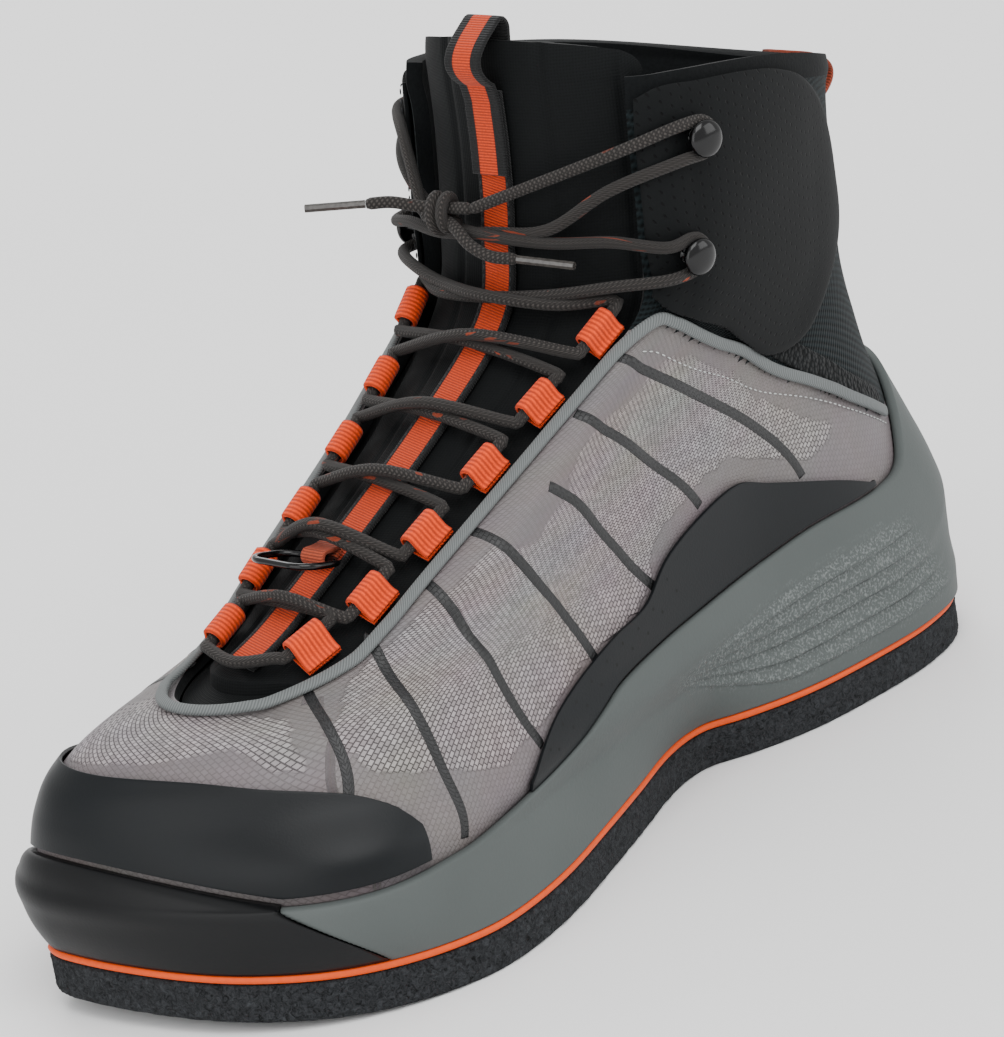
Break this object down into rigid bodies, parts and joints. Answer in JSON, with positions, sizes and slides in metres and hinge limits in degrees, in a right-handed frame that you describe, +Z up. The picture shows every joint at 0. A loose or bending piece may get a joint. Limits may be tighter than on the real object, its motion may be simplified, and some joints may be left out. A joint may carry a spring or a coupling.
{
  "type": "wading boot",
  "caption": "Laced ankle-high wading boot with felt outsole, moulded midsole, padded collar, webbing lace loops, hooks and a gaiter ring; an empty left boot standing on its sole.",
  "frame": {"origin": "on the floor under the middle of the heel, at the heel's flat spot", "axes": "toe towards -Y, heel back towards +Y, +X is the outer (left) side, +Z up"},
  "size_m": [0.1245, 0.3247, 0.2282],
  "materials": {
    "grey_felt": "dense grey felt, cut square",
    "orange_rubber": "satin orange rubber foxing line",
    "grey_foam": "grey moulded foam rubber with fine speckle",
    "black_rubber": "matt black rubber",
    "insole_foam": "cloth-faced foam",
    "coated_textile": "warm grey woven textile with raised film coating and dark printed lines",
    "black_softshell": "matt black padded knit",
    "black_film": "smooth black film overlay",
    "grey_binding": "grey folded tape",
    "orange_webbing": "orange woven webbing",
    "rust_webbing": "rust red woven webbing with stitched edges",
    "black_webbing": "black woven webbing",
    "black_enamel": "gloss black",
    "clear_plastic": "clear aglet",
    "lace_cord": "round charcoal cord flecked with orange"
  },
  "bodies": {
    "boot": {"aglet_left": "clear_plastic", "aglet_right": "clear_plastic", "ankle_panel_left": "black_softshell", "ankle_panel_right": "black_softshell", "heel_loop": "rust_webbing", "hook_lower_left": "black_enamel", "hook_lower_right": "black_enamel", "hook_upper_left": "black_enamel", "hook_upper_right": "black_enamel", "insole": "insole_foam", "lace_bar": "lace_cord", "lace_crossing_1": "lace_cord", "lace_crossing_2": "lace_cord", "lace_crossing_3": "lace_cord", "lace_crossing_4": "lace_cord", "lace_crossing_5": "lace_cord", "lace_end_left": "lace_cord", "lace_end_right": "lace_cord", "lace_hooks": "lace_cord", "lace_knot": "lace_cord", "lace_loop_left_1": "orange_webbing", "lace_loop_left_2": "orange_webbing", "lace_loop_left_3": "orange_webbing", "lace_loop_left_4": "orange_webbing", "lace_loop_left_5": "orange_webbing", "lace_loop_left_6": "orange_webbing", "lace_loop_right_1": "orange_webbing", "lace_loop_right_2": "orange_webbing", "lace_loop_right_3": "orange_webbing", "lace_loop_right_4": "orange_webbing", "lace_loop_right_5": "orange_webbing", "lace_loop_right_6": "orange_webbing", "midsole": "grey_foam", "midsole_line": "orange_rubber", "outsole": "grey_felt", "quarter_binding": "grey_binding", "ring_tab": "rust_webbing", "side_panel_left": "black_film", "side_panel_right": "black_film", "toe_bumper": "black_rubber", "toe_cap": "black_film", "tongue": "black_softshell", "tongue_loop": "black_webbing", "tongue_stripe": "rust_webbing", "upper": "coated_textile"},
    "gaiter_ring": {"gaiter_ring": "black_enamel"}
  },
  "joints": [
    {"name": "ring_hinge", "type": "hinge", "parent": "boot", "child": "gaiter_ring", "pos_m": [0, -0.17679, 0.0998], "axis": [-1, 0, 0], "range_deg": [0, 55]}
  ]
}
